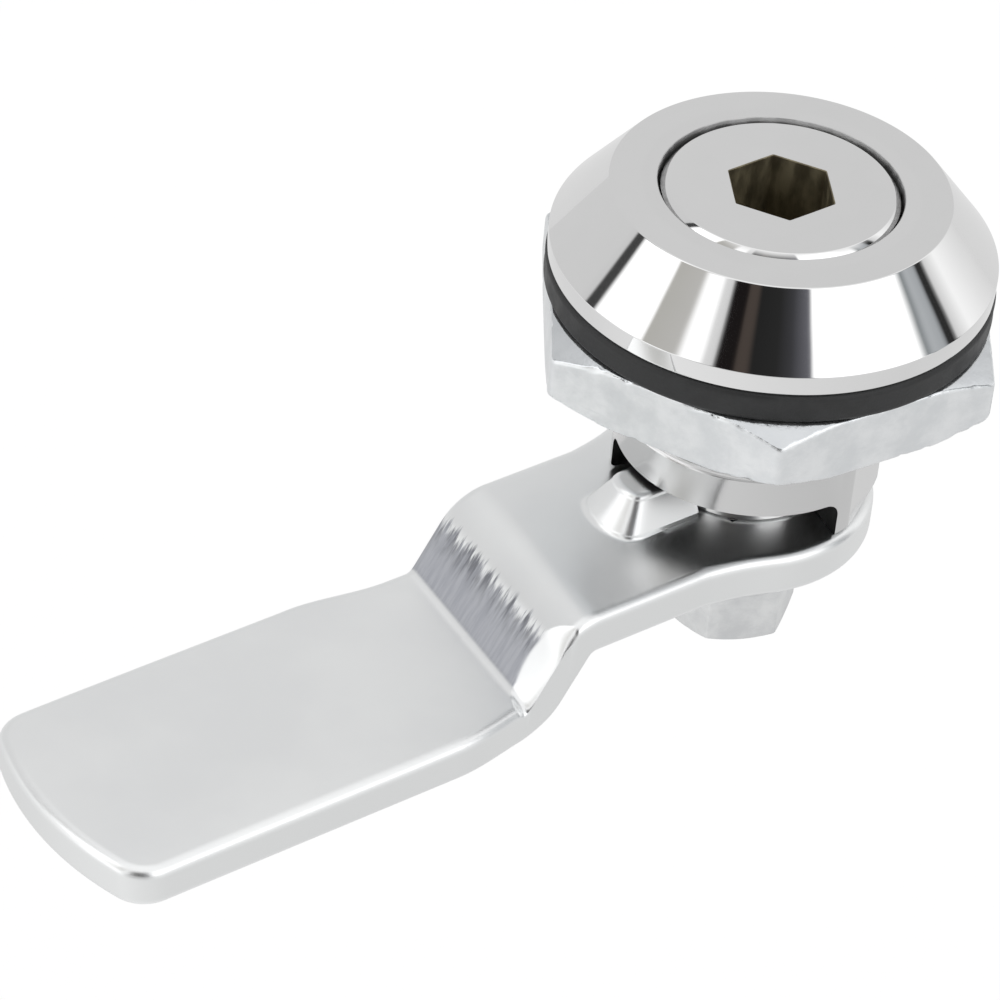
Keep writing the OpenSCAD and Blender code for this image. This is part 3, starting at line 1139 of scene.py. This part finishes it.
# camera where the photograph was taken from
view = {
    "place": (0.16691, 0.18119, 0.17103),
    "aim": (0.02061, 0.00105, -0.0100),
    "roll": math.radians(5.57),
    "lens": 173.4,
    "sensor": 36,
    "nearest": 0.01,
}


def makeCamera():
    eye = bpy.data.cameras.new("photoView")
    eye.lens = view["lens"]
    eye.sensor_width = view["sensor"]
    eye.clip_start = view["nearest"]
    holder = bpy.data.objects.new("photoView", eye)
    bpy.context.scene.collection.objects.link(holder)
    holder.location = view["place"]
    line = Vector(view["aim"]) - Vector(view["place"])
    holder.rotation_mode = "QUATERNION"
    roll = Quaternion((0, 0, 1), view["roll"])
    holder.rotation_quaternion = line.to_track_quat("-Z", "Y") @ roll
    bpy.context.scene.camera = holder


makeCamera()

# studio: a light tent with an open front, on a white floor; angles and heights in degrees
studio = {
    "floorDrop": 0.08,
    "floorSize": 4.0,
    "floorWhite": 0.8,
    "floorSeen": 1.06,
    "glowShare": 0.85,
    "brightest": 1.5,
    "ceiling": 1.0,
    "ceilingRise": (47, 66),
    "front": math.atan2(view["place"][1], view["place"][0]),
    "lowTop": (19, 23),         # where the lower wall ends: above, and on both sides
    "lowLeft": (-89, -85),
    "lowLean": 1.3,
    "lowShift": 27,
    "lowRight": (84, 88),
    "sideLift": 18,             # the ceiling reaches lower on one side
    "liftFrom": (60, 85),
    "liftTo": (115, 135),
}
# light of the tent's wall by the angle from its open front: one grey level or three channels
tentWall = [
    (-180, 0.72), (-100, 0.71), (-95.5, 0.68), (-94.2, 0.06), (-89.5, 0.06),
    (-88, 1.5), (-62.5, 1.5), (-60.5, 0.52, 0.51, 0.48), (-44, 0.56, 0.55, 0.53),
    (-40, 1.3), (-31, 1.3), (-28, 0.80), (-24, 0.76), (-22, 0.012, 0.01, 0.01),
    (-13, 0.012, 0.01, 0.01), (-11, 0.075, 0.06, 0.052), (-6, 0.075, 0.06, 0.052),
    (-3, 0.02), (10, 0.025), (18, 0.05, 0.05, 0.055), (28, 0.15, 0.15, 0.17),
    (30.5, 1.5), (84, 1.5), (88.5, 0.26, 0.28, 0.29), (92, 0.50, 0.52, 0.54),
    (98, 0.42, 0.44, 0.46), (99.5, 0.03), (103.5, 0.03), (105.5, 0.75),
    (114, 1.1), (127, 0.92), (145, 0.71),
]
# the same for the wall's lower part in front
lowWall = [
    (-113, 0.92), (-76, 0.92), (-68, 1.30), (-46, 1.30),
    (-30, 0.60), (18, 0.60), (40, 0.86), (90, 0.86),
]
# the floor's painted glow as the lock's sides mirror it, by the same angle
floorMirror = [
    (-180, 0.80), (-95, 0.80), (-45, 0.95), (-5, 0.87), (40, 0.80), (80, 0.75), (130, 0.80),
]


# 1 for rays that the eye, a mirror or glass sees
def seenRays(wire):
    seen = wire.node("ShaderNodeLightPath", output="Is Camera Ray")
    for kind in ("Is Glossy Ray", "Is Transmission Ray"):
        seen = wire.maths("MAXIMUM", seen, wire.node("ShaderNodeLightPath", output=kind))
    return seen


# angle of a direction from the tent's open front, in degrees
def frontAngle(wire, direction):
    turned = wire.node("ShaderNodeVectorRotate", {"rotation_type": "Z_AXIS"},
                       {"Vector": direction, "Angle": -studio["front"]})
    return wire.maths("ARCTAN2", axisOf(wire, turned, "Y"), axisOf(wire, turned, "X")) * inDegrees


# colours by angle, as shares of the brightest level
def levelRamp(angle, levels):
    stops = []
    for place, *colour in levels:
        shares = (level / studio["brightest"] for level in colour)
        stops.append((place / 360 + 0.5, paint(*shares)))
    return angle.node("ShaderNodeValToRGB", {"stops": stops}, {0: angle / 360 + 0.5})


def makeTent():
    world = bpy.data.worlds.new("lightTent")
    bpy.context.scene.world = world
    world.use_nodes = True
    tree = world.node_tree
    tree.nodes.clear()
    wire = Wire(tree)
    ray = wire.node("ShaderNodeTexCoord", output="Generated")
    angle = frontAngle(wire, ray)
    top = paint(studio["ceiling"] / studio["brightest"])
    height = wire.maths("ARCSINE", axisOf(wire, ray, "Z")) * inDegrees
    leaning = angle - studio["lowLean"] * height + studio["lowShift"]
    low = (1 - height.ease(*studio["lowTop"])) * leaning.ease(*studio["lowLeft"])
    low = low * (1 - angle.ease(*studio["lowRight"]))
    wall = low.tint(levelRamp(angle, tentWall), levelRamp(angle, lowWall))
    lift = studio["sideLift"] * angle.ease(*studio["liftFrom"])
    lift = lift * (1 - angle.ease(*studio["liftTo"]))
    tent = (height + lift).ease(*studio["ceilingRise"]).tint(wall, top)
    lit = wire.node("ShaderNodeBackground", {}, {"Color": tent, "Strength": studio["brightest"]})
    white = wire.node("ShaderNodeBackground", {}, {"Color": paint(1.0), "Strength": 1.0})
    camera = wire.node("ShaderNodeLightPath", output="Is Camera Ray")
    shown = wire.node("ShaderNodeMixShader", {}, {0: camera, 1: lit, 2: white})
    tree.links.new(shown.socket, tree.nodes.new("ShaderNodeOutputWorld").inputs["Surface"])


def makeFloor():
    half = studio["floorSize"] / 2
    level = cadBounds[0][2] - studio["floorDrop"]
    mesh = bpy.data.meshes.new("whiteFloor")
    corners = [(-half, -half, level), (half, -half, level),
               (half, half, level), (-half, half, level)]
    mesh.from_pydata(corners, [], [(0, 1, 2, 3)])
    floor = bpy.data.objects.new("whiteFloor", mesh)
    bpy.context.scene.collection.objects.link(floor)
    material = bpy.data.materials.new("whiteFloor")
    material.use_nodes = True
    tree = material.node_tree
    tree.nodes.clear()
    wire = Wire(tree)
    matt = wire.node("ShaderNodeBsdfDiffuse", {}, {"Color": paint(studio["floorWhite"])})
    camera = wire.node("ShaderNodeLightPath", output="Is Camera Ray")
    spot = wire.node("ShaderNodeTexCoord", output="Object")
    mirrored = levelRamp(frontAngle(wire, spot), floorMirror)
    glow = camera.tint(mirrored, paint(studio["floorSeen"] / studio["brightest"]))
    light = wire.node("ShaderNodeEmission", {}, {"Color": glow, "Strength": studio["brightest"]})
    share = seenRays(wire) * studio["glowShare"]
    mixed = wire.node("ShaderNodeMixShader", {}, {0: share, 1: matt, 2: light})
    below = wire.node("ShaderNodeNewGeometry", output="Backfacing")      # clear from below
    clear = wire.node("ShaderNodeBsdfTransparent")
    shown = wire.node("ShaderNodeMixShader", {}, {0: below, 1: mixed, 2: clear})
    tree.links.new(shown.socket, tree.nodes.new("ShaderNodeOutputMaterial").inputs["Surface"])
    mesh.materials.append(material)


makeTent()
makeFloor()
bpy.context.scene.view_settings.view_transform = "Standard"
print("camera and studio set")
